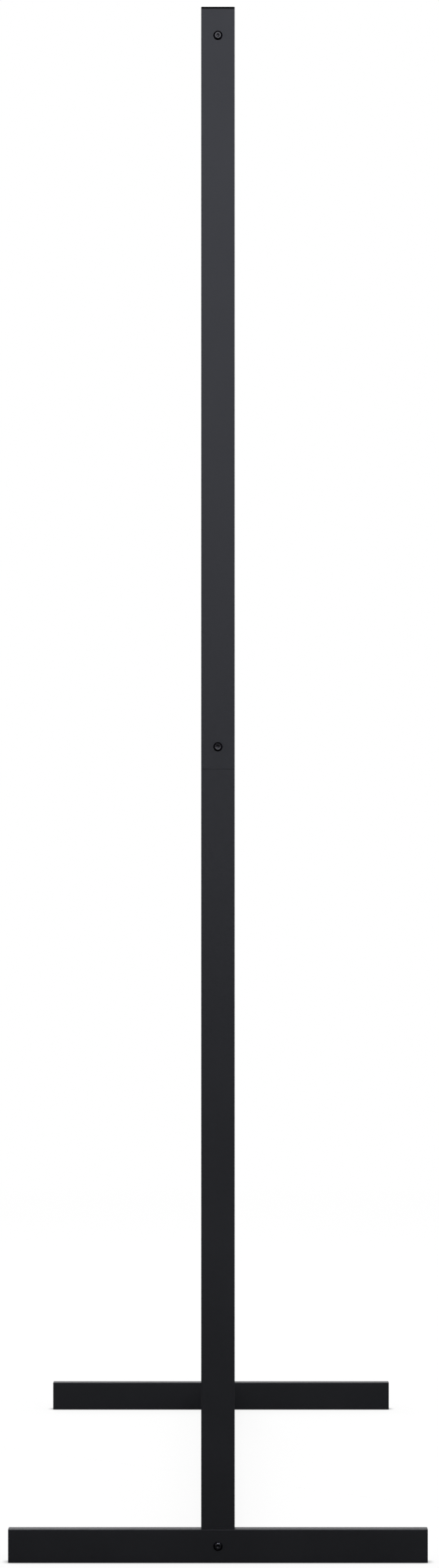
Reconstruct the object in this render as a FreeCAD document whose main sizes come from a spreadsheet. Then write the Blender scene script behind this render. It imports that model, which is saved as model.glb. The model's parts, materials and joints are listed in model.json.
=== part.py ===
import FreeCAD, Part
import math
import os
import Sketcher

# Clothes rack of black steel tube. Each end frame is a foot, a lower post welded onto it and an upper
# post joined on by an inner sleeve. A round hanging rail and a flat base bar hold the two ends apart.
# X runs along the rack, Y along the feet and Z up. The origin is on the floor, under the middle.

# Driving sizes, in millimetres
SIZES = [
    ("overall_length", 1500, "outer face of one post to the outer face of the other"),
    ("foot_length", 500, "end to end, with the end plates"),
    ("tube_width", 40, "wide side of the rectangular tube"),
    ("tube_depth", 20, "narrow side of the rectangular tube"),
    ("tube_wall", 1.2, "wall of the rectangular tube"),
    ("tube_corner", 1, "outer corner radius of the rectangular tube"),
    ("tube_inner_corner", 0.4, "inner corner radius of the rectangular tube"),
    ("edge_break", 0.2, "small chamfer round a cut tube end"),
    ("foot_plate_thickness", 2, "plate welded over each end of a foot"),
    ("foot_plate_edge", 0.6, "rounding of the outer edge of a foot plate"),
    ("lower_post_length", 905.4, "top of the foot to the seam"),
    ("upper_post_length", 905.4, "seam to the cut top of the post"),
    ("sleeve_length", 100, "half of it in each post"),
    ("sleeve_wall", 1.5, "wall of the sleeve"),
    ("sleeve_corner", 1.2, "outer corner radius of the sleeve"),
    ("sleeve_inner_corner", 0.4, "inner corner radius of the sleeve"),
    ("sleeve_clearance", 0.3, "gap between the sleeve and the inside of a post, each side"),
    ("splice_screw_rise", 26.6, "seam to the axis of the screw above it"),
    ("rail_diameter", 25, "outside of the hanging rail"),
    ("rail_wall", 1.2, "wall of the hanging rail"),
    ("rail_drop", 31.8, "cut top of the post to the axis of the rail"),
    ("rail_plug_length", 18, "threaded plug in each end of the rail"),
    ("plug_clearance", 0.05, "gap round a plug or plate inside its tube"),
    ("plug_chamfer", 0.8, "lead-in round the inner end of a plug"),
    ("bar_plate_thickness", 6, "plate inside each end of the base bar"),
    ("bar_plate_corner", 0.6, "corner radius of that plate"),
    ("nut_width", 10, "side of a square weld nut"),
    ("nut_thickness", 5, "thickness of a square weld nut"),
    ("nut_corner", 1, "corner radius of a square weld nut"),
    ("screw_diameter", 6, "shank of every screw"),
    ("screw_hole_clearance", 0.3, "gap round a shank in a plain hole"),
    ("thread_clearance", 0.05, "gap round a shank in a threaded hole"),
    ("screw_tail", 4, "how far a screw reaches past its nut"),
    ("screw_tip", 0.8, "chamfer at the tip of a screw"),
    ("head_diameter", 11, "button head of a screw"),
    ("head_height", 3.3, "button head of a screw"),
    ("head_lip", 0.7, "straight edge under the dome of the head"),
    ("head_flat", 7, "flat round the socket on top of the head"),
    ("socket_width", 4, "across the flats of the hexagon socket"),
    ("socket_depth", 2.1, "depth of the hexagon socket"),
    ("spacer_diameter", 10, "outside of the spacer tube round a through screw"),
    ("cap_flange", 2.5, "part of the cap that lies on the post"),
    ("cap_edge", 0.8, "rounding round the top of the cap"),
    ("cap_leg_tail", 2.4, "last fin to the lower end of the part inside the post"),
    ("cap_leg_wall", 1.6, "wall of the part inside the post"),
    ("cap_leg_gap", 0.9, "gap between that part and the post"),
    ("cap_leg_corner", 1, "outer corner radius of that part"),
    ("cap_leg_inner_corner", 0.5, "inner corner radius of that part"),
    ("cap_fin_count", 3, "thin fins that grip the post"),
    ("cap_fin_thickness", 0.8, "thickness of a fin"),
    ("cap_fin_pitch", 4.4, "from one fin to the next"),
    ("cap_fin_start", 3, "underside of the flange to the first fin"),
    ("cap_fin_clearance", 0.05, "gap between a fin and the post"),
]

document = FreeCAD.newDocument("clothes_rack")
sheet = document.addObject("Spreadsheet::Sheet", "Sizes")
for row, (alias, size, note) in enumerate(SIZES, start=1):
    sheet.set(f"A{row}", alias)
    sheet.set(f"B{row}", str(size))
    sheet.set(f"C{row}", note)
    sheet.setAlias(f"B{row}", alias)
document.recompute()

# Sizes and places that follow from the driving sizes
TUBE_INNER_WIDTH = "(Sizes.tube_width - 2 * Sizes.tube_wall)"
TUBE_INNER_DEPTH = "(Sizes.tube_depth - 2 * Sizes.tube_wall)"
RAIL_BORE = "(Sizes.rail_diameter - 2 * Sizes.rail_wall)"
CROSS_LENGTH = "(Sizes.overall_length - 2 * Sizes.tube_depth)"
PLAIN_HOLE = "(Sizes.screw_diameter + 2 * Sizes.screw_hole_clearance)"
THREADED_HOLE = "(Sizes.screw_diameter + 2 * Sizes.thread_clearance)"
SLEEVE_WIDTH = f"({TUBE_INNER_WIDTH} - 2 * Sizes.sleeve_clearance)"
SLEEVE_DEPTH = f"({TUBE_INNER_DEPTH} - 2 * Sizes.sleeve_clearance)"
CAP_FINS_SPAN = "((Sizes.cap_fin_count - 1) * Sizes.cap_fin_pitch + Sizes.cap_fin_thickness)"
SPLICE_GRIP = "(Sizes.tube_wall + Sizes.sleeve_clearance + Sizes.sleeve_wall)"
SPLICE_SCREW_LENGTH = f"({SPLICE_GRIP} + Sizes.nut_thickness + Sizes.screw_tail)"
THROUGH_GRIP = "(Sizes.tube_depth + Sizes.bar_plate_thickness)"
THROUGH_SCREW_LENGTH = f"({THROUGH_GRIP} + Sizes.nut_thickness + Sizes.screw_tail)"
OUTER_FACE_X = "(Sizes.overall_length / 2)"
POST_X = "(Sizes.overall_length / 2 - Sizes.tube_depth / 2)"
INNER_FACE_X = "(Sizes.overall_length / 2 - Sizes.tube_depth)"
FOOT_AXIS_Z = "(Sizes.tube_width / 2)"
SEAM_Z = "(Sizes.tube_width + Sizes.lower_post_length)"
POST_TOP_Z = "(Sizes.tube_width + Sizes.lower_post_length + Sizes.upper_post_length)"
RAIL_Z = f"({POST_TOP_Z} - Sizes.rail_drop)"
SPLICE_SCREW_Z = f"({SEAM_Z} + Sizes.splice_screw_rise)"

# Every piece of an end is drawn with its outer side towards +X, and the left end is turned half round
SIDES = (("right", "", 0), ("left", "-", 180))
X_AXIS = FreeCAD.Vector(1, 0, 0)
Y_AXIS = FreeCAD.Vector(0, 1, 0)
Z_AXIS = FreeCAD.Vector(0, 0, 1)

# A sketch numbers its own axes downwards, and the points of a line or an arc upwards
H_AXIS, V_AXIS = range(-1, -3, -1)
START, END, CENTRE = range(1, 4)
ORIGIN_POINT = (H_AXIS, START)


def new_body(label, x="0", y="0", z="0", turn=0):
    """A body at a place that is bound to the sheet, turned about Z by a number of degrees."""
    body = document.addObject("PartDesign::Body", label)
    body.Label = label
    body.Placement = FreeCAD.Placement(FreeCAD.Vector(), FreeCAD.Rotation(Z_AXIS, turn))
    body.setExpression("Placement.Base.x", x)
    body.setExpression("Placement.Base.y", y)
    body.setExpression("Placement.Base.z", z)
    return body


def new_sketch(body, name, role, offset=None):
    """A sketch on one of the body's own origin planes, moved along the plane's normal if asked."""
    sketch = body.newObject("Sketcher::SketchObject", name)
    plane = next(feature for feature in body.Origin.OriginFeatures if feature.Role == role)
    sketch.AttachmentSupport = [(plane, "")]
    sketch.MapMode = "FlatFace"
    if offset is not None:
        sketch.setExpression("AttachmentOffset.Base.z", offset)
    return sketch


def dimension(sketch, name, expression, *constraint):
    """Adds a named dimension to a sketch and binds it to an expression."""
    index = sketch.addConstraint(Sketcher.Constraint(*constraint))
    sketch.renameConstraint(index, name)
    sketch.setExpression(f"Constraints.{name}", expression)


def relate(sketch, *constraint):
    """Adds a constraint without a size."""
    sketch.addConstraint(Sketcher.Constraint(*constraint))


def draw_circle(sketch, name, diameter, rise=None):
    """A circle round the sketch's origin, or straight above it by a distance."""
    start_diameter = 8
    start_rise = 0 if rise is None else 20
    centre = FreeCAD.Vector(0, start_rise, 0)
    circle = sketch.addGeometry(Part.Circle(centre, Z_AXIS, start_diameter / 2))
    if rise is None:
        relate(sketch, "Coincident", circle, CENTRE, *ORIGIN_POINT)
    else:
        relate(sketch, "PointOnObject", circle, CENTRE, V_AXIS)
        dimension(sketch, f"{name}_rise", rise, "DistanceY", *ORIGIN_POINT, circle, CENTRE, start_rise)
    dimension(sketch, f"{name}_diameter", diameter, "Diameter", circle, start_diameter)


def draw_rounded_rectangle(sketch, name, width, height, radius):
    """A rectangle with rounded corners, centred on the sketch's origin."""
    half, corner = 12, 1
    flat = half - corner
    line_ends = (
        ((-flat, -half), (flat, -half)),
        ((half, -flat), (half, flat)),
        ((flat, half), (-flat, half)),
        ((-half, flat), (-half, -flat)),
    )
    corner_centres = ((flat, -flat), (flat, flat), (-flat, flat), (-flat, -flat))
    lines = []
    for first, last in line_ends:
        segment = Part.LineSegment(FreeCAD.Vector(*first, 0), FreeCAD.Vector(*last, 0))
        lines.append(sketch.addGeometry(segment))
    arcs = []
    for quarter, centre in enumerate(corner_centres):
        circle = Part.Circle(FreeCAD.Vector(*centre, 0), Z_AXIS, corner)
        begin = math.radians(90 * quarter - 90)
        arcs.append(sketch.addGeometry(Part.ArcOfCircle(circle, begin, begin + math.pi / 2)))
    bottom, right, top, left = lines
    for index in range(4):
        relate(sketch, "Tangent", lines[index], END, arcs[index], START)
        relate(sketch, "Tangent", arcs[index], END, lines[(index + 1) % 4], START)
    relate(sketch, "Horizontal", bottom)
    relate(sketch, "Horizontal", top)
    relate(sketch, "Vertical", right)
    relate(sketch, "Vertical", left)
    for arc in arcs[1:]:
        relate(sketch, "Equal", arcs[0], arc)
    relate(sketch, "Symmetric", arcs[3], CENTRE, arcs[1], CENTRE, *ORIGIN_POINT)
    dimension(sketch, f"{name}_width", width, "DistanceX", left, START, right, START, 2 * half)
    dimension(sketch, f"{name}_height", height, "DistanceY", bottom, START, top, START, 2 * half)
    dimension(sketch, f"{name}_radius", radius, "Radius", arcs[0], corner)


def draw_hexagon(sketch, name, across_flats):
    """A regular hexagon round the sketch's origin, with two upright sides."""
    radius = 3
    points = []
    for index in range(6):
        spoke = FreeCAD.Rotation(Z_AXIS, 60 * index + 30)
        points.append(spoke.multVec(FreeCAD.Vector(radius, 0, 0)))
    sides = []
    for index in range(6):
        sides.append(sketch.addGeometry(Part.LineSegment(points[index], points[(index + 1) % 6])))
    circle = sketch.addGeometry(Part.Circle(FreeCAD.Vector(), Z_AXIS, radius), True)
    relate(sketch, "Coincident", circle, CENTRE, *ORIGIN_POINT)
    for index in range(6):
        relate(sketch, "Coincident", sides[index], END, sides[(index + 1) % 6], START)
        relate(sketch, "PointOnObject", sides[index], START, circle)
    for side in sides[1:]:
        relate(sketch, "Equal", sides[0], side)
    relate(sketch, "Vertical", sides[5])
    dimension(sketch, f"{name}_radius", f"{across_flats} / sqrt(3)", "Radius", circle, radius)


def add_pad(body, name, sketch, length, symmetric=False, backwards=False):
    """Raises a sketch into a solid."""
    pad = body.newObject("PartDesign::Pad", name)
    pad.Profile = sketch
    pad.SideType = "Symmetric" if symmetric else "One side"
    pad.Reversed = backwards
    pad.setExpression("Length", length)
    return pad


def add_pocket(body, name, sketch, depth, symmetric=False, backwards=False):
    """Cuts a sketch out of the solid."""
    pocket = body.newObject("PartDesign::Pocket", name)
    pocket.Profile = sketch
    pocket.SideType = "Symmetric" if symmetric else "One side"
    pocket.Reversed = backwards
    pocket.setExpression("Length", depth)
    return pocket


def rim_edges(feature, direction):
    """Names of the edges round the outside of the face that lies furthest in a direction."""
    document.recompute()
    shape = feature.Shape
    furthest = max(shape.Faces, key=lambda face: face.CenterOfMass.dot(direction))
    names = []
    for number, edge in enumerate(shape.Edges, start=1):
        if any(edge.isSame(rim) for rim in furthest.OuterWire.Edges):
            names.append(f"Edge{number}")
    return names


def chamfer_rim(body, name, feature, direction, size):
    """Chamfers the outer rim of one end of a solid."""
    names = rim_edges(feature, direction)
    chamfer = body.newObject("PartDesign::Chamfer", name)
    chamfer.Base = (feature, names)
    chamfer.setExpression("Size", size)
    return chamfer


def round_rim(body, name, feature, direction, radius):
    """Rounds the outer rim of one end of a solid."""
    names = rim_edges(feature, direction)
    fillet = body.newObject("PartDesign::Fillet", name)
    fillet.Base = (feature, names)
    fillet.setExpression("Radius", radius)
    return fillet


def draw_tube(sketch, width, height):
    """The outline and the bore of the rectangular tube, its wide side along either direction."""
    draw_rounded_rectangle(sketch, "outer", width, height, "Sizes.tube_corner")
    inner_width = f"{width} - 2 * Sizes.tube_wall"
    inner_height = f"{height} - 2 * Sizes.tube_wall"
    draw_rounded_rectangle(sketch, "inner", inner_width, inner_height, "Sizes.tube_inner_corner")


def make_foot(side, sign, turn):
    """Tube that lies on the floor, with a hole right through it for the screw of the base bar."""
    body = new_body(f"{side}_foot", sign + POST_X, "0", FOOT_AXIS_Z, turn)
    section = new_sketch(body, f"{side}_foot_section", "XZ_Plane")
    draw_tube(section, "Sizes.tube_depth", "Sizes.tube_width")
    length = "Sizes.foot_length - 2 * Sizes.foot_plate_thickness"
    add_pad(body, f"{side}_foot_tube", section, length, symmetric=True)
    hole = new_sketch(body, f"{side}_foot_hole", "YZ_Plane")
    draw_circle(hole, "hole", PLAIN_HOLE)
    add_pocket(body, f"{side}_foot_bore", hole, "2 * Sizes.tube_depth", symmetric=True)


def make_foot_plate(side, sign, end, end_sign, turn):
    """Plate that closes one end of a foot."""
    y = f"{end_sign}(Sizes.foot_length / 2 - Sizes.foot_plate_thickness)"
    body = new_body(f"{side}_foot_{end}_plate", sign + POST_X, y, FOOT_AXIS_Z, turn)
    outline = new_sketch(body, f"{side}_foot_{end}_outline", "XZ_Plane")
    draw_rounded_rectangle(
        outline, "plate", "Sizes.tube_depth", "Sizes.tube_width", "Sizes.tube_corner"
    )
    thickness = "Sizes.foot_plate_thickness"
    plate = add_pad(body, f"{side}_foot_{end}_sheet", outline, thickness, backwards=True)
    round_rim(body, f"{side}_foot_{end}_rounding", plate, Y_AXIS, "Sizes.foot_plate_edge")


def make_lower_post(side, sign, turn):
    """Tube that stands on the foot."""
    body = new_body(f"{side}_lower_post", sign + POST_X, "0", "Sizes.tube_width", turn)
    section = new_sketch(body, f"{side}_lower_post_section", "XY_Plane")
    draw_tube(section, "Sizes.tube_depth", "Sizes.tube_width")
    tube = add_pad(body, f"{side}_lower_post_tube", section, "Sizes.lower_post_length")
    chamfer_rim(body, f"{side}_lower_post_rim", tube, Z_AXIS, "Sizes.edge_break")


def make_upper_post(side, sign, turn):
    """Tube that carries on above the seam, drilled for the splice screw and for the rail's screw."""
    body = new_body(f"{side}_upper_post", sign + POST_X, "0", SEAM_Z, turn)
    section = new_sketch(body, f"{side}_upper_post_section", "XY_Plane")
    draw_tube(section, "Sizes.tube_depth", "Sizes.tube_width")
    tube = add_pad(body, f"{side}_upper_post_tube", section, "Sizes.upper_post_length")
    low_rim = chamfer_rim(body, f"{side}_upper_post_low_rim", tube, -Z_AXIS, "Sizes.edge_break")
    chamfer_rim(body, f"{side}_upper_post_top_rim", low_rim, Z_AXIS, "Sizes.edge_break")
    splice_hole = new_sketch(body, f"{side}_upper_post_splice_hole", "YZ_Plane")
    draw_circle(splice_hole, "hole", PLAIN_HOLE, "Sizes.splice_screw_rise")
    add_pocket(body, f"{side}_upper_post_splice_bore", splice_hole, "Sizes.tube_depth", backwards=True)
    rail_hole = new_sketch(body, f"{side}_upper_post_rail_hole", "YZ_Plane")
    draw_circle(rail_hole, "hole", PLAIN_HOLE, "Sizes.upper_post_length - Sizes.rail_drop")
    add_pocket(
        body, f"{side}_upper_post_rail_bore", rail_hole, "2 * Sizes.tube_depth", symmetric=True
    )


def make_sleeve(side, sign, turn):
    """Inner tube that reaches into both halves of a post, with a hole behind the splice screw."""
    z = f"{SEAM_Z} - Sizes.sleeve_length / 2"
    body = new_body(f"{side}_post_sleeve", sign + POST_X, "0", z, turn)
    section = new_sketch(body, f"{side}_sleeve_section", "XY_Plane")
    draw_rounded_rectangle(section, "outer", SLEEVE_DEPTH, SLEEVE_WIDTH, "Sizes.sleeve_corner")
    inner_depth = f"{SLEEVE_DEPTH} - 2 * Sizes.sleeve_wall"
    inner_width = f"{SLEEVE_WIDTH} - 2 * Sizes.sleeve_wall"
    draw_rounded_rectangle(section, "inner", inner_depth, inner_width, "Sizes.sleeve_inner_corner")
    add_pad(body, f"{side}_sleeve_tube", section, "Sizes.sleeve_length")
    hole = new_sketch(body, f"{side}_sleeve_hole", "YZ_Plane")
    draw_circle(hole, "hole", PLAIN_HOLE, "Sizes.sleeve_length / 2 + Sizes.splice_screw_rise")
    add_pocket(body, f"{side}_sleeve_bore", hole, "Sizes.tube_depth", backwards=True)


def make_nut(label, x, z, turn):
    """Square weld nut whose outer face lies at x."""
    body = new_body(label, x, "0", z, turn)
    outline = new_sketch(body, f"{label}_outline", "YZ_Plane")
    draw_rounded_rectangle(outline, "nut", "Sizes.nut_width", "Sizes.nut_width", "Sizes.nut_corner")
    draw_circle(outline, "thread", THREADED_HOLE)
    add_pad(body, f"{label}_block", outline, "Sizes.nut_thickness", backwards=True)


def make_screw(label, x, z, turn, length):
    """Button-head screw, the underside of its head at x and its hexagon socket facing outwards."""
    body = new_body(label, x, "0", z, turn)
    profile = new_sketch(body, f"{label}_profile", "XY_Plane")
    height = sheet.head_height
    flat = sheet.head_flat / 2
    lip_height = sheet.head_lip
    radius = sheet.head_diameter / 2
    shank_radius = sheet.screw_diameter / 2
    chamfer = sheet.screw_tip
    start_length = 4 * radius
    corners = (
        (height, 0),
        (height, flat),
        (lip_height, radius),
        (0, radius),
        (0, shank_radius),
        (chamfer - start_length, shank_radius),
        (-start_length, shank_radius - chamfer),
        (-start_length, 0),
    )
    points = [FreeCAD.Vector(*corner, 0) for corner in corners]
    dome_centre = (height**2 + flat**2 - lip_height**2 - radius**2) / (2 * (height - lip_height))
    dome_radius = math.hypot(height - dome_centre, flat)
    dome_circle = Part.Circle(FreeCAD.Vector(dome_centre, 0, 0), Z_AXIS, dome_radius)
    dome_ends = (dome_circle.parameter(points[1]), dome_circle.parameter(points[2]))
    top = profile.addGeometry(Part.LineSegment(points[0], points[1]))
    dome = profile.addGeometry(Part.ArcOfCircle(dome_circle, *dome_ends))
    lip = profile.addGeometry(Part.LineSegment(points[2], points[3]))
    seat = profile.addGeometry(Part.LineSegment(points[3], points[4]))
    shank = profile.addGeometry(Part.LineSegment(points[4], points[5]))
    tip = profile.addGeometry(Part.LineSegment(points[5], points[6]))
    point = profile.addGeometry(Part.LineSegment(points[6], points[7]))
    axis = profile.addGeometry(Part.LineSegment(points[7], points[0]))
    outline = (top, dome, lip, seat, shank, tip, point, axis)
    for index, line in enumerate(outline):
        relate(profile, "Coincident", line, END, outline[(index + 1) % len(outline)], START)
    for line in (top, seat, point):
        relate(profile, "Vertical", line)
    for line in (lip, shank, axis):
        relate(profile, "Horizontal", line)
    relate(profile, "PointOnObject", axis, END, H_AXIS)
    relate(profile, "PointOnObject", seat, END, V_AXIS)
    relate(profile, "PointOnObject", dome, CENTRE, H_AXIS)
    from_middle = (
        ("height", "Sizes.head_height", "DistanceX", top, START, height),
        ("flat", "Sizes.head_flat / 2", "DistanceY", top, END, flat),
        ("lip", "Sizes.head_lip", "DistanceX", lip, START, lip_height),
        ("radius", "Sizes.head_diameter / 2", "DistanceY", lip, END, radius),
        ("shank", "Sizes.screw_diameter / 2", "DistanceY", shank, START, shank_radius),
    )
    for name, size, direction, line, line_point, start_size in from_middle:
        dimension(profile, name, size, direction, *ORIGIN_POINT, line, line_point, start_size)
    dimension(profile, "length", length, "DistanceX", point, START, *ORIGIN_POINT, start_length)
    dimension(profile, "tip_length", "Sizes.screw_tip", "DistanceX", tip, END, tip, START, chamfer)
    dimension(profile, "tip_depth", "Sizes.screw_tip", "DistanceY", tip, END, tip, START, chamfer)
    turned = body.newObject("PartDesign::Revolution", f"{label}_turned")
    turned.Profile = profile
    turned.ReferenceAxis = (profile, ["H_Axis"])
    turned.Angle = 360
    socket = new_sketch(body, f"{label}_socket", "YZ_Plane", "Sizes.head_height")
    draw_hexagon(socket, "socket", "Sizes.socket_width")
    add_pocket(body, f"{label}_socket_cut", socket, "Sizes.socket_depth")


def make_spacer(label, sign, z, turn):
    """Short tube between the two walls of a post or a foot, round a through screw."""
    body = new_body(label, sign + POST_X, "0", z, turn)
    section = new_sketch(body, f"{label}_section", "YZ_Plane")
    draw_circle(section, "outer", "Sizes.spacer_diameter")
    draw_circle(section, "inner", PLAIN_HOLE)
    add_pad(body, f"{label}_tube", section, TUBE_INNER_DEPTH, symmetric=True)


def make_cap(side, sign, turn):
    """Plastic plug in the top of a post: a flange, a hollow leg and thin fins that grip the tube."""
    body = new_body(f"{side}_post_cap", sign + POST_X, "0", POST_TOP_Z, turn)
    flange_outline = new_sketch(body, f"{side}_cap_flange_outline", "XY_Plane")
    draw_rounded_rectangle(
        flange_outline, "flange", "Sizes.tube_depth", "Sizes.tube_width", "Sizes.tube_corner"
    )
    flange = add_pad(body, f"{side}_cap_flange", flange_outline, "Sizes.cap_flange")
    round_rim(body, f"{side}_cap_rounding", flange, Z_AXIS, "Sizes.cap_edge")
    leg_outline = new_sketch(body, f"{side}_cap_leg_outline", "XY_Plane")
    leg_depth = f"{TUBE_INNER_DEPTH} - 2 * Sizes.cap_leg_gap"
    leg_width = f"{TUBE_INNER_WIDTH} - 2 * Sizes.cap_leg_gap"
    draw_rounded_rectangle(leg_outline, "leg", leg_depth, leg_width, "Sizes.cap_leg_corner")
    draw_rounded_rectangle(
        leg_outline,
        "hollow",
        f"{leg_depth} - 2 * Sizes.cap_leg_wall",
        f"{leg_width} - 2 * Sizes.cap_leg_wall",
        "Sizes.cap_leg_inner_corner",
    )
    leg_reach = f"Sizes.cap_fin_start + {CAP_FINS_SPAN} + Sizes.cap_leg_tail"
    add_pad(body, f"{side}_cap_leg", leg_outline, leg_reach, backwards=True)
    fin_outline = new_sketch(body, f"{side}_cap_fin_outline", "XY_Plane", "-Sizes.cap_fin_start")
    fin_depth = f"{TUBE_INNER_DEPTH} - 2 * Sizes.cap_fin_clearance"
    fin_width = f"{TUBE_INNER_WIDTH} - 2 * Sizes.cap_fin_clearance"
    fin_bore_depth = f"{leg_depth} - Sizes.cap_leg_wall"
    fin_bore_width = f"{leg_width} - Sizes.cap_leg_wall"
    draw_rounded_rectangle(fin_outline, "fin", fin_depth, fin_width, "Sizes.tube_inner_corner")
    draw_rounded_rectangle(
        fin_outline, "bore", fin_bore_depth, fin_bore_width, "Sizes.cap_leg_inner_corner"
    )
    fin = add_pad(body, f"{side}_cap_fin", fin_outline, "Sizes.cap_fin_thickness", backwards=True)
    fins = body.newObject("PartDesign::LinearPattern", f"{side}_cap_fins")
    fins.Originals = [fin]
    fins.Direction = (fin_outline, ["N_Axis"])
    fins.Reversed = True
    fins.Mode = "Spacing"
    fins.setExpression("Offset", "Sizes.cap_fin_pitch")
    fins.setExpression("Occurrences", "Sizes.cap_fin_count")
    body.Tip = fins


def make_hanging_rail():
    """Round tube between the two upper posts."""
    body = new_body("hanging_rail", z=RAIL_Z)
    section = new_sketch(body, "rail_section", "YZ_Plane")
    draw_circle(section, "outer", "Sizes.rail_diameter")
    draw_circle(section, "inner", RAIL_BORE)
    add_pad(body, "rail_tube", section, CROSS_LENGTH, symmetric=True)


def make_rail_plug(side, sign, turn):
    """Threaded plug, flush with the end of the rail."""
    body = new_body(f"{side}_rail_plug", sign + INNER_FACE_X, "0", RAIL_Z, turn)
    section = new_sketch(body, f"{side}_rail_plug_section", "YZ_Plane")
    draw_circle(section, "outer", f"{RAIL_BORE} - 2 * Sizes.plug_clearance")
    draw_circle(section, "thread", THREADED_HOLE)
    plug = add_pad(body, f"{side}_rail_plug_blank", section, "Sizes.rail_plug_length", backwards=True)
    chamfer_rim(body, f"{side}_rail_plug_lead", plug, -X_AXIS, "Sizes.plug_chamfer")


def make_base_bar():
    """Rectangular tube on the floor between the two feet."""
    body = new_body("base_bar", z=FOOT_AXIS_Z)
    section = new_sketch(body, "base_bar_section", "YZ_Plane")
    draw_tube(section, "Sizes.tube_depth", "Sizes.tube_width")
    add_pad(body, "base_bar_tube", section, CROSS_LENGTH, symmetric=True)


def make_bar_plate(side, sign, turn):
    """Plate inside the end of the base bar, flush with it, with a hole for the screw."""
    body = new_body(f"{side}_bar_plate", sign + INNER_FACE_X, "0", FOOT_AXIS_Z, turn)
    outline = new_sketch(body, f"{side}_bar_plate_outline", "YZ_Plane")
    depth = f"{TUBE_INNER_DEPTH} - 2 * Sizes.plug_clearance"
    width = f"{TUBE_INNER_WIDTH} - 2 * Sizes.plug_clearance"
    draw_rounded_rectangle(outline, "plate", depth, width, "Sizes.bar_plate_corner")
    draw_circle(outline, "hole", PLAIN_HOLE)
    add_pad(body, f"{side}_bar_plate_sheet", outline, "Sizes.bar_plate_thickness", backwards=True)


make_hanging_rail()
make_base_bar()
for side, sign, turn in SIDES:
    make_foot(side, sign, turn)
    make_foot_plate(side, sign, "front", "-", 180)
    make_foot_plate(side, sign, "rear", "", 0)
    make_lower_post(side, sign, turn)
    make_upper_post(side, sign, turn)
    make_sleeve(side, sign, turn)
    make_cap(side, sign, turn)
    make_rail_plug(side, sign, turn)
    make_bar_plate(side, sign, turn)
    outer_x = sign + OUTER_FACE_X
    sleeve_nut_x = f"{sign}({OUTER_FACE_X} - {SPLICE_GRIP})"
    bar_nut_x = f"{sign}({OUTER_FACE_X} - {THROUGH_GRIP})"
    make_nut(f"{side}_sleeve_nut", sleeve_nut_x, SPLICE_SCREW_Z, turn)
    make_nut(f"{side}_bar_nut", bar_nut_x, FOOT_AXIS_Z, turn)
    make_spacer(f"{side}_rail_spacer", sign, RAIL_Z, turn)
    make_spacer(f"{side}_base_spacer", sign, FOOT_AXIS_Z, turn)
    make_screw(f"{side}_rail_screw", outer_x, RAIL_Z, turn, THROUGH_SCREW_LENGTH)
    make_screw(f"{side}_splice_screw", outer_x, SPLICE_SCREW_Z, turn, SPLICE_SCREW_LENGTH)
    make_screw(f"{side}_base_screw", outer_x, FOOT_AXIS_Z, turn, THROUGH_SCREW_LENGTH)
document.recompute()

# Every feature has to be sound, and every cut has to cut, before anything is written
bodies = [thing for thing in document.Objects if thing.TypeId == "PartDesign::Body"]
for thing in document.Objects:
    if "Invalid" in thing.State or "Error" in thing.State:
        raise RuntimeError(f"{thing.Label} did not build")
    if thing.TypeId == "PartDesign::Pocket":
        if thing.Shape.Volume >= thing.BaseFeature.Shape.Volume:
            raise RuntimeError(f"{thing.Label} cuts nothing")
for body in bodies:
    if body.Shape.isNull() or not body.Shape.isValid() or len(body.Shape.Solids) != 1:
        raise RuntimeError(f"{body.Label} is not one valid solid")

os.makedirs("parts", exist_ok=True)
for body in bodies:
    body.Shape.exportStep(f"parts/{body.Label}.step")
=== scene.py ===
import json
import math

import bmesh
import bpy
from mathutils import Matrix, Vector

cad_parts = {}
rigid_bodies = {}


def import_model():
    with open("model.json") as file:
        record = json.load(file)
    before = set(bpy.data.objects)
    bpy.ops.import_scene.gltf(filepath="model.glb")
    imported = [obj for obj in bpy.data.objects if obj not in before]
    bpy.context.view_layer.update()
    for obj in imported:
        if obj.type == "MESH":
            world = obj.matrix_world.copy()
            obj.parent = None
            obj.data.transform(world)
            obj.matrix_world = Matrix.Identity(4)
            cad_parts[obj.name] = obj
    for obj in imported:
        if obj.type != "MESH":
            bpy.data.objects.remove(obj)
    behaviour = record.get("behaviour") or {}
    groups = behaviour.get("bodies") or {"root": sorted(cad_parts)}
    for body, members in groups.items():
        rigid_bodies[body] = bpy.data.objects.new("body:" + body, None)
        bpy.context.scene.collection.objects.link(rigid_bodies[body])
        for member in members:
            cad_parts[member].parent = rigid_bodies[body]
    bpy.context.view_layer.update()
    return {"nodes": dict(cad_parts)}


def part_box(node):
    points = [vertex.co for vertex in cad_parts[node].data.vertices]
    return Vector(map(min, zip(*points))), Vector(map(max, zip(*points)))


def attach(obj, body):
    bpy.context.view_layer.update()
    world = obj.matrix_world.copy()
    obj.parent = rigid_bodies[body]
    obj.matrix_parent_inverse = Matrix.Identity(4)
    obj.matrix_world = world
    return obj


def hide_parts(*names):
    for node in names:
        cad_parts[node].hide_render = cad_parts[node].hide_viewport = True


# Nothing of the default scene is used
for leftover in list(bpy.data.objects):
    bpy.data.objects.remove(leftover)

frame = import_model()
nodes = frame["nodes"]

# All lengths are in metres, and 1 is the light level at which a white surface renders white

# Camera: level and square on to one end of the rack
CAMERA_PLACE = (6.652, 0.0182, 0.9113)
CAMERA_LENS = 113.8
CAMERA_SENSOR = 36.0
CAMERA_SHIFT_X = -0.00875
CAMERA_SHIFT_Y = 0.00875

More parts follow.
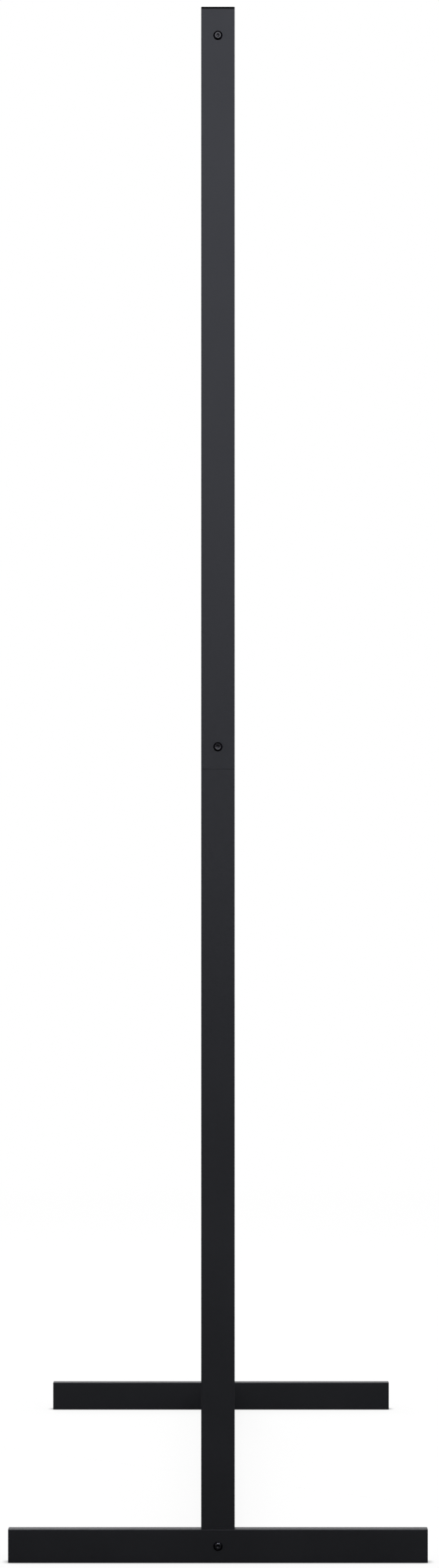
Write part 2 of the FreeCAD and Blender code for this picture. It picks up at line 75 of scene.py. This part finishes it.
# Floor and white surroundings, which show brighter than they light the object
WHITE = (1.0, 1.0, 1.0, 1.0)
WORLD_LEVEL = 0.42
BACKGROUND_LEVEL = 1.0
FLOOR_COLOUR = (0.985, 0.985, 0.985, 1.0)
FLOOR_LIFT = 0.84
# Reach of the painted contact shadow, where ambient occlusion darkens the floor's lift towards white
PAINTED_CONTACT_SHADOW_REACH = 0.009
LIFT_START = 1.5
LIFT_END = 5.0
FLOOR_REACH = 80.0

# Dark drape that only the gloss shows
DRAPE_COLOUR = (0.012, 0.012, 0.013, 1.0)
DRAPE_RADIUS = 25.0
DRAPE_COLUMNS = 48
DRAPE_ROWS = 24
CLOTH_RISE = 0.0002
# The floor cloth glows brighter towards its sides, a painted reflection of light for the gloss
SIDE_START = 1.4
SIDE_END = 3.4
SIDE_LEVEL = 42.0

# Softboxes: name, place, point that it faces, width, height, level
SOFTBOXES = (
    ("front_softbox", (4.75, 0.0, 2.35), (0.0, 0.0, 2.35), 5.0, 2.3, 1.42),
    ("front_key", (4.75, 0.9, 3.85), (0.0, 0.9, 3.85), 0.7, 0.7, 16.0),
    ("back_softbox", (-4.75, 0.0, 2.35), (0.0, 0.0, 2.35), 5.0, 2.3, 1.42),
    ("back_key", (-4.75, -0.9, 3.85), (0.0, -0.9, 3.85), 0.7, 0.7, 16.0),
    ("left_softbox", (0.0, -5.5, 3.80), (0.0, 0.0, 1.0), 6.0, 2.0, 0.8),
    ("right_softbox", (0.0, 5.5, 3.80), (0.0, 0.0, 1.0), 6.0, 2.0, 0.8),
    ("top_softbox", (0.0, 0.0, 5.50), (0.0, 0.0, 0.0), 1.8, 7.0, 2.6),
    ("front_left_softbox", (4.2, -4.2, 2.60), (0.0, 0.0, 2.6), 4.2, 2.4, 0.8),
    ("front_right_softbox", (4.2, 4.2, 2.60), (0.0, 0.0, 2.6), 4.2, 2.4, 1.8),
    ("back_left_softbox", (-4.2, -4.2, 2.60), (0.0, 0.0, 2.6), 4.2, 2.4, 1.8),
    ("back_right_softbox", (-4.2, 4.2, 2.60), (0.0, 0.0, 2.6), 4.2, 2.4, 0.8),
)

# Lamps for the gloss of the lowest screws alone: name, place, point that it faces, width, height, level
GLINT_LAMPS = (
    ("front_left_glint", (1.45, -0.2, 3.60), (0.75, 0.0, 0.02), 1.6, 0.3, 60.0),
    ("front_right_glint", (1.45, 1.7, 3.60), (0.75, 0.0, 0.02), 1.6, 0.3, 60.0),
    ("back_left_glint", (-1.45, 0.2, 3.60), (-0.75, 0.0, 0.02), 1.6, 0.3, 60.0),
    ("back_right_glint", (-1.45, -1.7, 3.60), (-0.75, 0.0, 0.02), 1.6, 0.3, 60.0),
)
GLINT_SPREAD = math.radians(28)

# Range that nearly all of a cloud pattern's values lie in
CLOUD_LOW = 0.3
CLOUD_HIGH = 0.7

# Powder coat
COAT_DARK = (0.0050, 0.0050, 0.0053, 1.0)
COAT_USUAL = (0.0066, 0.0066, 0.0070, 1.0)
COAT_WORN = (0.0270, 0.0270, 0.0285, 1.0)
COAT_ROUGHNESS = 0.42
COAT_INDEX = 1.58
COAT_GLOSS_TINT = (0.84, 0.87, 1.0, 1.0)
PEEL_SCALE = 420.0
PEEL_DEPTH = 0.00005
GRAIN_SCALE = 1700.0
GRAIN_TONE = 0.3
GRAIN_ROUGHNESS = 0.03
GRAIN_HEIGHT = 0.25
MOTTLE_SCALE = 9.0
MOTTLE_TONE_LOW = 0.1
MOTTLE_TONE_HIGH = 0.3
MOTTLE_ROUGHNESS = 0.02

# Wear of the coat, on the tubes' rounded edges and where hooks slide along the rail
WEAR_TONE = 0.35
WEAR_ROUGHNESS = -0.08
FLAT_NORMAL = 0.99
ROUNDED_NORMAL = 0.80
PATCH_SCALE = 70.0
PATCH_START = 0.42
PATCH_END = 0.66
RAIL_TOP_START = 0.45
RAIL_TOP_END = 0.95
HOOK_MARK_SCALE = (1400.0, 40.0, 40.0)
HOOK_MARK_START = 0.55
HOOK_MARK_END = 0.72

# Moulded plastic of the caps
PLASTIC_DARK = (0.0045, 0.0045, 0.0058, 1.0)
PLASTIC_LIGHT = (0.0065, 0.0065, 0.0081, 1.0)
PLASTIC_MOTTLE_SCALE = 60.0
PLASTIC_TEXTURE_SCALE = 2600.0
PLASTIC_TEXTURE_DEPTH = 0.00006
PLASTIC_SMOOTHEST = 0.60
PLASTIC_ROUGHEST = 0.75
PLASTIC_GLOSS = 0.12

# Black steel of the screws, a little polished on the crown; the flank of the head and the inside of the
# socket are painted darker as shade
STEEL_FLANK_PAINTED_SHADE = (0.017, 0.017, 0.022, 1.0)
STEEL_DARK = (0.068, 0.068, 0.076, 1.0)
STEEL_LIGHT = (0.098, 0.098, 0.108, 1.0)
STEEL_EDGE_TINT = (0.48, 0.48, 0.52, 1.0)
STEEL_METAL_SHARE = 0.94
STEEL_PATCH_SCALE = 500.0
STEEL_SMOOTHEST = 0.13
STEEL_ROUGHEST = 0.19
TURNING_SCALE = 900.0
TURNING_DISTORTION = 1.5
TURNING_DETAIL = 2.0
TURNING_ROUGHNESS = 0.04
TURNING_DEPTH = 0.000004
# Radii where the polished crown gives way to the flank, which is painted darker as shade
CROWN_POLISH_FLANK_SHADE_START = 0.0033
CROWN_POLISH_FLANK_SHADE_END = 0.0036
# Painted shade inside the hexagon socket: the radii where it fades out, and how dark it gets
SOCKET_SHADE_START = 0.0024
SOCKET_SHADE_END = 0.0020
SOCKET_SHADE_TONE = 0.26
SOCKET_ROUGHNESS = 0.15

# Zinc plating of the inner pieces
ZINC_BLUE = (0.56, 0.58, 0.61, 1.0)
ZINC_YELLOW = (0.66, 0.65, 0.58, 1.0)
ZINC_TINT_SCALE = 40.0
CRYSTAL_SCALE = 260.0
CRYSTAL_BANDS = 3.0
CRYSTAL_SMOOTHEST = 0.28
CRYSTAL_ROUGHEST = 0.42
ZINC_GRAIN_SCALE = 900.0
ZINC_GRAIN_DEPTH = 0.00002

# Hexagon socket screws
SCREW_COLUMNS = 36
HEAD_RADIUS = 0.0055
HEAD_HEIGHT = 0.0033
HEAD_LIP = 0.0007
HEAD_CROWN_RADIUS = 0.0033
CROWN_DISH = 0.00008
HEAD_SHOULDER = 0.0090
HEAD_CREASE = math.radians(42)
HEAD_BREAK = 0.00015
SHOULDER_STEPS = 8
SOCKET_HALF_WIDTH = 0.0020
SOCKET_DEPTH = 0.0021
SOCKET_CHAMFER = 0.00025
SOCKET_BREAK = 0.00012
SOCKET_DISH = 0.00045
DISH_RADIUS = 0.0019
DISH_STEPS = 4
SHANK_RADIUS = 0.0030
THREAD_PITCH = 0.0010
THREAD_DEPTH = 0.00060
THREAD_FLATTENING = 1.6
THREAD_ROWS = 6
THREAD_RUNOUT = 0.0012
TIP_CHAMFER = 0.0008
SHARP_ANGLE = math.radians(15)


def add_node(tree, kind, **settings):
    """Makes a node and sets its properties."""
    node = tree.nodes.new(kind)
    for name, value in settings.items():
        setattr(node, name, value)
    return node


def join(tree, source, socket):
    """Links an output to a socket, or sets the socket to a plain value."""
    if isinstance(source, bpy.types.NodeSocket):
        tree.links.new(source, socket)
    else:
        socket.default_value = source


def calculate(tree, operation, *terms):
    """One step of arithmetic."""
    node = add_node(tree, "ShaderNodeMath", operation=operation)
    for term, socket in zip(terms, node.inputs):
        join(tree, term, socket)
    return node.outputs[0]


def remap(tree, value, low, high, new_low=0.0, new_high=1.0):
    """Stretches a range of values to a new one, and holds it at the ends."""
    node = add_node(tree, "ShaderNodeMapRange")
    for term, socket in zip((value, low, high, new_low, new_high), node.inputs):
        join(tree, term, socket)
    return node.outputs[0]


def cloud(tree, place, scale, detail=2.0):
    """Soft random pattern."""
    node = add_node(tree, "ShaderNodeTexNoise")
    join(tree, place, node.inputs["Vector"])
    join(tree, scale, node.inputs["Scale"])
    join(tree, detail, node.inputs["Detail"])
    return node.outputs[0]


def stretch(tree, place, scale):
    """Coordinates scaled by a different amount along each axis."""
    node = add_node(tree, "ShaderNodeMapping")
    join(tree, place, node.inputs["Vector"])
    join(tree, scale, node.inputs["Scale"])
    return node.outputs[0]


def blend_colours(tree, value, stops):
    """Colours along a value, from a list of places and colours."""
    node = add_node(tree, "ShaderNodeValToRGB")
    ramp = node.color_ramp
    while len(ramp.elements) < len(stops):
        ramp.elements.new(1.0)
    for element, (position, colour) in zip(ramp.elements, stops):
        element.position = position
        element.color = colour
    join(tree, value, node.inputs[0])
    return node.outputs[0]


def bump(tree, height, depth):
    """Turns a height pattern into a surface normal."""
    node = add_node(tree, "ShaderNodeBump")
    join(tree, height, node.inputs["Height"])
    join(tree, depth, node.inputs["Distance"])
    return node.outputs[0]


def new_tree(name):
    """Material with an empty node tree and an output."""
    material = bpy.data.materials.new(name)
    material.use_nodes = True
    tree = material.node_tree
    tree.nodes.clear()
    return material, tree, add_node(tree, "ShaderNodeOutputMaterial")


def new_surface(name):
    """Material with one shader, and the coordinates and normal of the surface."""
    material, tree, output = new_tree(name)
    shader = add_node(tree, "ShaderNodeBsdfPrincipled")
    tree.links.new(shader.outputs["BSDF"], output.inputs["Surface"])
    coordinates = add_node(tree, "ShaderNodeTexCoord")
    return material, tree, shader, coordinates.outputs["Object"], coordinates.outputs["Normal"]


def background_rays(tree):
    """One for the rays that show the background: to the eye, in gloss and through glass."""
    path = add_node(tree, "ShaderNodeLightPath")
    shown = calculate(tree, "MAXIMUM", path.outputs["Is Camera Ray"], path.outputs["Is Glossy Ray"])
    return calculate(tree, "MAXIMUM", shown, path.outputs["Is Transmission Ray"])


def add_stage_mesh(name, mesh, material):
    """Links a piece of the set, which isn't part of the object."""
    mesh.materials.append(material)
    piece = bpy.data.objects.new(name, mesh)
    bpy.context.scene.collection.objects.link(piece)
    return piece


def square_mesh(name, reach, height):
    """Flat square mesh at a height."""
    mesh = bpy.data.meshes.new(name)
    corners = [
        (-reach, -reach, height),
        (reach, -reach, height),
        (reach, reach, height),
        (-reach, reach, height),
    ]
    mesh.from_pydata(corners, [], [(0, 1, 2, 3)])
    return mesh


def make_world():
    """White surroundings, which light the object evenly and at a lower level than they show."""
    world = bpy.data.worlds.new("white_studio")
    world.use_nodes = True
    bpy.context.scene.world = world
    tree = world.node_tree
    background = tree.nodes["Background"]
    background.inputs["Color"].default_value = WHITE
    level = remap(tree, background_rays(tree), 0.0, 1.0, WORLD_LEVEL, BACKGROUND_LEVEL)
    join(tree, level, background.inputs["Strength"])


def make_floor():
    """Pale floor, lifted towards white so that its real shadow stays faint, with a painted contact shadow
    close under the object, where ambient occlusion darkens the lift.
    """
    material, tree, output = new_tree("pale_floor")
    paint = add_node(tree, "ShaderNodeBsdfDiffuse")
    paint.inputs["Color"].default_value = FLOOR_COLOUR
    lift = add_node(tree, "ShaderNodeEmission")
    # Painted contact shadow: ambient occlusion darkens the floor's glow close under the object
    painted_contact_shadow = add_node(tree, "ShaderNodeAmbientOcclusion")
    painted_contact_shadow.inputs["Distance"].default_value = PAINTED_CONTACT_SHADOW_REACH
    level = calculate(tree, "MULTIPLY", painted_contact_shadow.outputs["AO"], BACKGROUND_LEVEL)
    join(tree, level, lift.inputs["Strength"])
    coordinates = add_node(tree, "ShaderNodeTexCoord")
    distance = add_node(tree, "ShaderNodeVectorMath", operation="LENGTH")
    join(tree, coordinates.outputs["Object"], distance.inputs[0])
    lifted = remap(tree, distance.outputs["Value"], LIFT_START, LIFT_END, FLOOR_LIFT, 1.0)
    mix = add_node(tree, "ShaderNodeMixShader")
    join(tree, calculate(tree, "MULTIPLY", background_rays(tree), lifted), mix.inputs[0])
    join(tree, paint.outputs[0], mix.inputs[1])
    join(tree, lift.outputs[0], mix.inputs[2])
    join(tree, mix.outputs[0], output.inputs["Surface"])
    add_stage_mesh("floor", square_mesh("floor", FLOOR_REACH, 0.0), material)


def make_cloth(name, level_pattern):
    """Cloth that shows the same brightness however it is lit."""
    material, tree, output = new_tree(name)
    cloth = add_node(tree, "ShaderNodeEmission")
    cloth.inputs["Color"].default_value = DRAPE_COLOUR
    join(tree, level_pattern(tree), cloth.inputs["Strength"])
    join(tree, cloth.outputs[0], output.inputs["Surface"])
    return material


def glow_towards_sides(tree):
    """Glow of the cloth, which the gloss shows as a painted reflection of light: one along the middle of
    the floor, rising towards its left and right sides.
    """
    coordinates = add_node(tree, "ShaderNodeTexCoord")
    parts = add_node(tree, "ShaderNodeSeparateXYZ")
    join(tree, coordinates.outputs["Object"], parts.inputs[0])
    aside = calculate(tree, "ABSOLUTE", parts.outputs[1])
    return remap(tree, aside, SIDE_START, SIDE_END, 1.0, SIDE_LEVEL)


def make_drape():
    """Dark drape round the set and cloth on its floor, which only the gloss shows."""
    dome = bmesh.new()
    bmesh.ops.create_uvsphere(dome, u_segments=DRAPE_COLUMNS, v_segments=DRAPE_ROWS, radius=DRAPE_RADIUS)
    drape_mesh = bpy.data.meshes.new("drape")
    dome.to_mesh(drape_mesh)
    dome.free()
    cloth_mesh = square_mesh("floor_cloth", DRAPE_RADIUS, CLOTH_RISE)
    drape = add_stage_mesh("drape", drape_mesh, make_cloth("dark_drape", lambda tree: 1.0))
    floor_cloth = add_stage_mesh("floor_cloth", cloth_mesh, make_cloth("floor_cloth", glow_towards_sides))
    for piece in (drape, floor_cloth):
        piece.visible_camera = False
        piece.visible_diffuse = False
        piece.visible_transmission = False
        piece.visible_shadow = False


def add_softbox(name, place, target, width, height, level, spread=math.pi):
    """Soft lamp that the camera doesn't see, as bright straight ahead for any spread of its light."""
    data = bpy.data.lights.new(name, "AREA")
    data.shape = "RECTANGLE"
    data.size = width
    data.size_y = height
    data.spread = spread
    beam_share = 1 - spread / 2 / math.tan(spread / 2)
    data.energy = level * math.pi * width * height * beam_share
    lamp = bpy.data.objects.new(name, data)
    bpy.context.scene.collection.objects.link(lamp)
    lamp.location = place
    lamp.rotation_euler = (Vector(target) - Vector(place)).to_track_quat("-Z", "Y").to_euler()
    lamp.visible_camera = False
    return lamp


def make_softboxes():
    """Large soft lamps all round."""
    for settings in SOFTBOXES:
        add_softbox(*settings)


def make_glints(screws):
    """Narrow lamps for the gloss of these screws alone."""
    receivers = bpy.data.collections.new("glint_receivers")
    for screw in screws:
        receivers.objects.link(screw)
    for settings in GLINT_LAMPS:
        lamp = add_softbox(*settings, GLINT_SPREAD)
        lamp.visible_diffuse = False
        lamp.light_linking.receiver_collection = receivers


def make_camera():
    """Camera at the photograph's viewing angle."""
    data = bpy.data.cameras.new("photo_camera")
    data.lens = CAMERA_LENS
    data.sensor_width = CAMERA_SENSOR
    data.shift_x = CAMERA_SHIFT_X
    data.shift_y = CAMERA_SHIFT_Y
    camera = bpy.data.objects.new("photo_camera", data)
    bpy.context.scene.collection.objects.link(camera)
    camera.location = CAMERA_PLACE
    camera.rotation_euler = (math.radians(90), 0.0, math.radians(90))
    bpy.context.scene.camera = camera


def edge_wear(tree, place, normal):
    """Nearly one on the rounded edges of a square tube, broken up along their length."""
    node = add_node(tree, "ShaderNodeVectorMath", operation="ABSOLUTE")
    join(tree, normal, node.inputs[0])
    parts = add_node(tree, "ShaderNodeSeparateXYZ")
    join(tree, node.outputs[0], parts.inputs[0])
    largest = calculate(tree, "MAXIMUM", parts.outputs[0], parts.outputs[1])
    largest = calculate(tree, "MAXIMUM", largest, parts.outputs[2])
    rounding = remap(tree, largest, FLAT_NORMAL, ROUNDED_NORMAL)
    patches = cloud(tree, place, PATCH_SCALE, detail=3.0)
    broken = remap(tree, patches, PATCH_START, PATCH_END)
    return calculate(tree, "MULTIPLY", rounding, broken)


def hanger_wear(tree, place, normal):
    """Fine marks across the top of the rail, where hooks slide."""
    parts = add_node(tree, "ShaderNodeSeparateXYZ")
    join(tree, normal, parts.inputs[0])
    upper = remap(tree, parts.outputs[2], RAIL_TOP_START, RAIL_TOP_END)
    lines = cloud(tree, stretch(tree, place, HOOK_MARK_SCALE), 1.0, detail=3.0)
    marks = remap(tree, lines, HOOK_MARK_START, HOOK_MARK_END)
    return calculate(tree, "MULTIPLY", upper, marks)


def make_coat(name, wear_pattern):
    """Satin black powder coat: orange peel, fine grain, faint mottling and light wear."""
    material, tree, shader, place, normal = new_surface(name)
    peel = cloud(tree, place, PEEL_SCALE)
    grain = cloud(tree, place, GRAIN_SCALE, detail=1.0)
    mottle = cloud(tree, place, MOTTLE_SCALE, detail=4.0)
    wear = wear_pattern(tree, place, normal)
    speckle = remap(tree, grain, CLOUD_LOW, CLOUD_HIGH, 0.0, GRAIN_TONE)
    tone = remap(tree, mottle, CLOUD_LOW, CLOUD_HIGH, MOTTLE_TONE_LOW, MOTTLE_TONE_HIGH)
    tone = calculate(tree, "ADD", tone, speckle)
    tone = calculate(tree, "MULTIPLY_ADD", wear, WEAR_TONE, tone)
    stops = ((0.0, COAT_DARK), (0.5, COAT_USUAL), (1.0, COAT_WORN))
    join(tree, blend_colours(tree, tone, stops), shader.inputs["Base Color"])
    smoothest = COAT_ROUGHNESS - MOTTLE_ROUGHNESS
    roughest = COAT_ROUGHNESS + MOTTLE_ROUGHNESS
    roughness = remap(tree, mottle, CLOUD_LOW, CLOUD_HIGH, smoothest, roughest)
    grain_share = remap(tree, grain, CLOUD_LOW, CLOUD_HIGH)
    roughness = calculate(tree, "MULTIPLY_ADD", grain_share, GRAIN_ROUGHNESS, roughness)
    roughness = calculate(tree, "MULTIPLY_ADD", wear, WEAR_ROUGHNESS, roughness)
    join(tree, roughness, shader.inputs["Roughness"])
    height = calculate(tree, "MULTIPLY_ADD", grain, GRAIN_HEIGHT, peel)
    join(tree, bump(tree, height, PEEL_DEPTH), shader.inputs["Normal"])
    shader.inputs["IOR"].default_value = COAT_INDEX
    shader.inputs["Specular Tint"].default_value = COAT_GLOSS_TINT
    return material


def make_plastic():
    """Black moulded plastic with a fine eroded texture."""
    material, tree, shader, place, _ = new_surface("moulded_plastic")
    texture = cloud(tree, place, PLASTIC_TEXTURE_SCALE)
    mottle = cloud(tree, place, PLASTIC_MOTTLE_SCALE, detail=3.0)
    tone = remap(tree, mottle, CLOUD_LOW, CLOUD_HIGH)
    stops = ((0.0, PLASTIC_DARK), (1.0, PLASTIC_LIGHT))
    join(tree, blend_colours(tree, tone, stops), shader.inputs["Base Color"])
    roughness = remap(tree, texture, CLOUD_LOW, CLOUD_HIGH, PLASTIC_SMOOTHEST, PLASTIC_ROUGHEST)
    join(tree, roughness, shader.inputs["Roughness"])
    join(tree, bump(tree, texture, PLASTIC_TEXTURE_DEPTH), shader.inputs["Normal"])
    shader.inputs["Specular IOR Level"].default_value = PLASTIC_GLOSS
    return material


def make_black_steel():
    """Black finish on steel: dark metal with faint turning marks round the screw's axis, a little
    polished on the crown, with painted shade on the flank of the head and in the socket.
    """
    material, tree, shader, place, _ = new_surface("black_steel")
    rings = add_node(tree, "ShaderNodeTexWave", wave_type="RINGS", rings_direction="X")
    join(tree, place, rings.inputs["Vector"])
    rings.inputs["Scale"].default_value = TURNING_SCALE
    rings.inputs["Distortion"].default_value = TURNING_DISTORTION
    rings.inputs["Detail"].default_value = TURNING_DETAIL
    patches = cloud(tree, place, STEEL_PATCH_SCALE, detail=3.0)
    distance = add_node(tree, "ShaderNodeVectorMath", operation="LENGTH")
    join(tree, stretch(tree, place, (0.0, 1.0, 1.0)), distance.inputs[0])
    from_axis = distance.outputs["Value"]
    # One on the polished crown, falling to the flank's painted shade beyond it
    crown = remap(tree, from_axis, CROWN_POLISH_FLANK_SHADE_END, CROWN_POLISH_FLANK_SHADE_START)
    # Painted shade: the inside of the hexagon socket is darkened, with one outside it
    socket_shade = remap(tree, from_axis, SOCKET_SHADE_END, SOCKET_SHADE_START, SOCKET_SHADE_TONE, 1.0)
    crown = calculate(tree, "MULTIPLY", crown, socket_shade)
    tone = calculate(tree, "MULTIPLY", patches, crown)
    stops = ((0.0, STEEL_FLANK_PAINTED_SHADE), (0.3, STEEL_DARK), (0.7, STEEL_LIGHT))
    join(tree, blend_colours(tree, tone, stops), shader.inputs["Base Color"])
    marks = rings.outputs["Fac"]
    roughness = remap(tree, patches, CLOUD_LOW, CLOUD_HIGH, STEEL_SMOOTHEST, STEEL_ROUGHEST)
    roughness = calculate(tree, "MULTIPLY_ADD", marks, TURNING_ROUGHNESS, roughness)
    socket_share = remap(tree, socket_shade, SOCKET_SHADE_TONE, 1.0, SOCKET_ROUGHNESS, 0.0)
    roughness = calculate(tree, "ADD", roughness, socket_share)
    join(tree, roughness, shader.inputs["Roughness"])
    join(tree, bump(tree, marks, TURNING_DEPTH), shader.inputs["Normal"])
    shader.inputs["Metallic"].default_value = STEEL_METAL_SHARE
    shader.inputs["Specular Tint"].default_value = STEEL_EDGE_TINT
    return material


def make_zinc():
    """Bright zinc plating with a faint crystal pattern."""
    material, tree, shader, place, _ = new_surface("zinc_plating")
    crystals = add_node(tree, "ShaderNodeTexVoronoi")
    join(tree, place, crystals.inputs["Vector"])
    crystals.inputs["Scale"].default_value = CRYSTAL_SCALE
    tint = cloud(tree, place, ZINC_TINT_SCALE, detail=3.0)
    stops = ((0.35, ZINC_BLUE), (0.65, ZINC_YELLOW))
    join(tree, blend_colours(tree, tint, stops), shader.inputs["Base Color"])
    bands = calculate(tree, "MULTIPLY", crystals.outputs["Distance"], CRYSTAL_BANDS)
    spangle = calculate(tree, "FRACT", bands)
    roughness = remap(tree, spangle, 0.0, 1.0, CRYSTAL_SMOOTHEST, CRYSTAL_ROUGHEST)
    join(tree, roughness, shader.inputs["Roughness"])
    grain = cloud(tree, place, ZINC_GRAIN_SCALE)
    join(tree, bump(tree, grain, ZINC_GRAIN_DEPTH), shader.inputs["Normal"])
    shader.inputs["Metallic"].default_value = 1.0
    return material


def socket_radius(angle):
    """Distance from the axis to the wall of the hexagon socket."""
    sixth = math.pi / 3
    return SOCKET_HALF_WIDTH / math.cos((angle % sixth) - sixth / 2)


def thread_radius(along, angle, length):
    """Distance from the axis to the thread, which runs out under the head."""
    turn = math.cos(2 * math.pi * along / THREAD_PITCH - angle)
    groove = 0.5 - 0.5 * max(-1.0, min(1.0, THREAD_FLATTENING * turn))
    depth = THREAD_DEPTH * min(1.0, along / THREAD_RUNOUT)
    radius = SHANK_RADIUS - depth * groove
    return min(radius, SHANK_RADIUS - TIP_CHAMFER + length - along)


def shoulder_points():
    """Rounded shoulder of a screw head, from the crease round its flat crown to its straight flank."""
    centre_radius = HEAD_CROWN_RADIUS - HEAD_SHOULDER * math.sin(HEAD_CREASE)
    centre_height = HEAD_HEIGHT - HEAD_SHOULDER * math.cos(HEAD_CREASE)
    across = HEAD_RADIUS - centre_radius
    down = centre_height - HEAD_LIP
    flank = math.atan2(across, -down) - math.acos(HEAD_SHOULDER / math.hypot(across, down))
    points = []
    for step in range(SHOULDER_STEPS + 1):
        tilt = HEAD_CREASE + (flank - HEAD_CREASE) * step / SHOULDER_STEPS
        height = centre_height + HEAD_SHOULDER * math.cos(tilt)
        points.append((height, centre_radius + HEAD_SHOULDER * math.sin(tilt)))
    return points


def screw_rows(length):
    """Outline of a screw from the dished floor of its socket to its tip, as places along it and radii."""
    floor_height = HEAD_HEIGHT - SOCKET_DEPTH
    rows = []
    for step in range(1, DISH_STEPS + 1):
        share = step / DISH_STEPS
        height = floor_height - SOCKET_DISH * (1 - share * share)
        rows.append((height, lambda angle, share=share: DISH_RADIUS * share))
    rows.append((floor_height, socket_radius))
    mouth_height = HEAD_HEIGHT - CROWN_DISH
    rows.append((mouth_height - SOCKET_CHAMFER, socket_radius))
    rows.append((mouth_height, lambda angle: socket_radius(angle) + SOCKET_BREAK))
    for height, radius in shoulder_points():
        rows.append((height, lambda angle, radius=radius: radius))
    rows.append((HEAD_LIP, lambda angle: HEAD_RADIUS))
    rows.append((HEAD_BREAK, lambda angle: HEAD_RADIUS))
    rows.append((0.0, lambda angle: HEAD_RADIUS - HEAD_BREAK))
    rows.append((0.0, lambda angle: SHANK_RADIUS))
    count = round(length / THREAD_PITCH) * THREAD_ROWS
    for step in range(1, count + 1):
        along = length * step / count
        rows.append((-along, lambda angle, along=along: thread_radius(along, angle, length)))
    return rows


def screw_mesh(name, length):
    """Closed mesh of a screw along X, with the underside of its head at zero."""
    built = bmesh.new()
    angles = [2 * math.pi * column / SCREW_COLUMNS for column in range(SCREW_COLUMNS)]
    grid = []
    for along, radius_at in screw_rows(length):
        ring = []
        for angle in angles:
            radius = radius_at(angle)
            ring.append(built.verts.new((along, radius * math.cos(angle), radius * math.sin(angle))))
        grid.append(ring)
    socket_point = built.verts.new((HEAD_HEIGHT - SOCKET_DEPTH - SOCKET_DISH, 0.0, 0.0))
    tip_point = built.verts.new((-length, 0.0, 0.0))
    for column in range(SCREW_COLUMNS):
        after = (column + 1) % SCREW_COLUMNS
        built.faces.new((socket_point, grid[0][column], grid[0][after]))
        built.faces.new((tip_point, grid[-1][after], grid[-1][column]))
        for ring, next_ring in zip(grid, grid[1:]):
            built.faces.new((ring[column], next_ring[column], next_ring[after], ring[after]))
    bmesh.ops.recalc_face_normals(built, faces=built.faces)
    mesh = bpy.data.meshes.new(name)
    built.to_mesh(mesh)
    built.free()
    mesh.shade_smooth()
    mesh.set_sharp_from_angle(angle=SHARP_ANGLE)
    return mesh


def make_screw(node, material):
    """Button-head screw with a hexagon socket and a thread, in the place of its CAD node."""
    low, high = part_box(node)
    outward = 1 if high.x > 0 else -1
    mesh = screw_mesh(node + "_detailed", high.x - low.x - HEAD_HEIGHT)
    mesh.materials.append(material)
    screw = bpy.data.objects.new(node + "_detailed", mesh)
    bpy.context.scene.collection.objects.link(screw)
    seat = (high.x if outward > 0 else low.x) - outward * HEAD_HEIGHT
    screw.location = (seat, 0.0, (low.z + high.z) / 2)
    screw.rotation_euler = (0.0, 0.0, 0.0 if outward > 0 else math.pi)
    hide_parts(node)
    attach(screw, "root")
    return screw


bpy.context.scene.view_settings.view_transform = "Standard"
make_camera()
make_world()
make_floor()
make_drape()
make_softboxes()

finishes = {
    "powder_coat": make_coat("powder_coat_tube", edge_wear),
    "cap_plastic": make_plastic(),
    "black_screw": make_black_steel(),
    "zinc_steel": make_zinc(),
}
for node in nodes.values():
    slot_name = node.data.materials[0].name.split(".")[0]
    node.material_slots[0].material = finishes[slot_name]
nodes["hanging_rail"].material_slots[0].material = make_coat("powder_coat_rail", hanger_wear)

lowest_screws = []
for side in ("left", "right"):
    for kind in ("rail", "splice", "base"):
        screw = make_screw(f"{side}_{kind}_screw", finishes["black_screw"])
        if kind == "base":
            lowest_screws.append(screw)
make_glints(lowest_screws)
